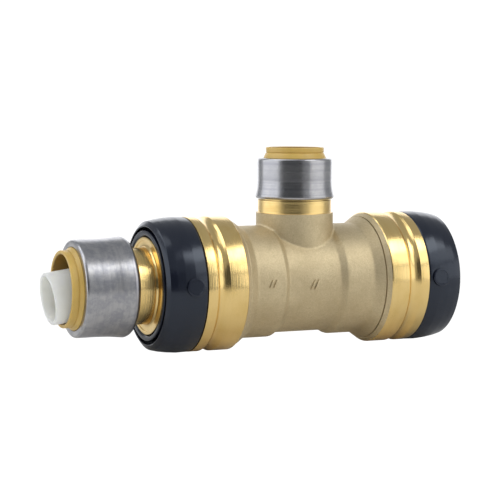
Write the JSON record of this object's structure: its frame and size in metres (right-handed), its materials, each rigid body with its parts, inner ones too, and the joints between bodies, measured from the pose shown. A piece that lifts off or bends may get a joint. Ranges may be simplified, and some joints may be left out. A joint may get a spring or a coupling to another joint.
{
  "type": "push to connect fitting",
  "caption": "Forged brass push to connect tee with black end collars, a steel-capped branch port and a steel-capped reducer pushed into one end of the run.",
  "frame": {"origin": "where the axis of the run crosses the axis of the branch, at the middle of the run waterway", "axes": "+X along the run, out of the open run port; +Z along the branch, out of its port; the reducer is in the -X port"},
  "size_m": [0.1829, 0.0598, 0.0868],
  "materials": {
    "cast_brass": "matte blasted forging with bright machined ends",
    "bright_brass": "turned and polished",
    "cap_steel": "satin formed stainless sheet",
    "grab_steel": "bright spring steel",
    "collar_black": "moulded satin",
    "collar_tan": "moulded satin",
    "retainer_grey": "moulded satin",
    "seal_rubber": "smooth, greased",
    "liner_white": "translucent moulded"
  },
  "bodies": {
    "tee": {"branch_backup_ring": "retainer_grey", "branch_cap": "cap_steel", "branch_grab_ring": "grab_steel", "branch_o_ring": "seal_rubber", "branch_seal_retainer": "retainer_grey", "left_backup_ring": "retainer_grey", "left_end_collar": "collar_black", "left_o_ring": "seal_rubber", "left_seal_retainer": "retainer_grey", "right_backup_ring": "retainer_grey", "right_end_collar": "collar_black", "right_grab_ring": "grab_steel", "right_o_ring": "seal_rubber", "right_seal_retainer": "retainer_grey", "tee_body": "cast_brass"},
    "left_grab": {"left_grab_ring": "grab_steel"},
    "reducer": {"reducer_body": "bright_brass", "reducer_cap": "cap_steel", "reducer_backup_ring": "retainer_grey", "reducer_grab_ring": "grab_steel", "reducer_seal_retainer": "retainer_grey", "reducer_o_ring": "seal_rubber"},
    "liner": {"tube_liner": "liner_white"},
    "left_release": {"left_release_ring": "collar_black"},
    "right_release": {"right_release_ring": "collar_black"},
    "branch_release": {"branch_release_collar": "collar_tan"},
    "reducer_release": {"reducer_release_collar": "collar_tan"}
  },
  "joints": [
    {"name": "right_release_slide", "type": "slide", "parent": "tee", "child": "right_release", "axis": [-1, 0, 0], "range_m": [0, 0.0025], "stiffness_N_per_m": 500},
    {"name": "left_release_slide", "type": "slide", "parent": "tee", "child": "left_release", "axis": [1, 0, 0], "range_m": [0, 0.0025], "stiffness_N_per_m": 500},
    {"name": "branch_release_slide", "type": "slide", "parent": "tee", "child": "branch_release", "axis": [0, 0, -1], "range_m": [0, 0.002], "stiffness_N_per_m": 300},
    {"name": "reducer_spin", "type": "hinge", "parent": "tee", "child": "left_grab", "pos_m": [0, 0, 0], "axis": [1, 0, 0], "continuous": true},
    {"name": "reducer_slide", "type": "slide", "parent": "left_grab", "child": "reducer", "axis": [-1, 0, 0], "range_m": [0, 0.056]},
    {"name": "reducer_release_slide", "type": "slide", "parent": "reducer", "child": "reducer_release", "axis": [1, 0, 0], "range_m": [0, 0.002], "stiffness_N_per_m": 300},
    {"name": "liner_slide", "type": "slide", "parent": "reducer", "child": "liner", "axis": [-1, 0, 0], "range_m": [0, 0.06]}
  ]
}
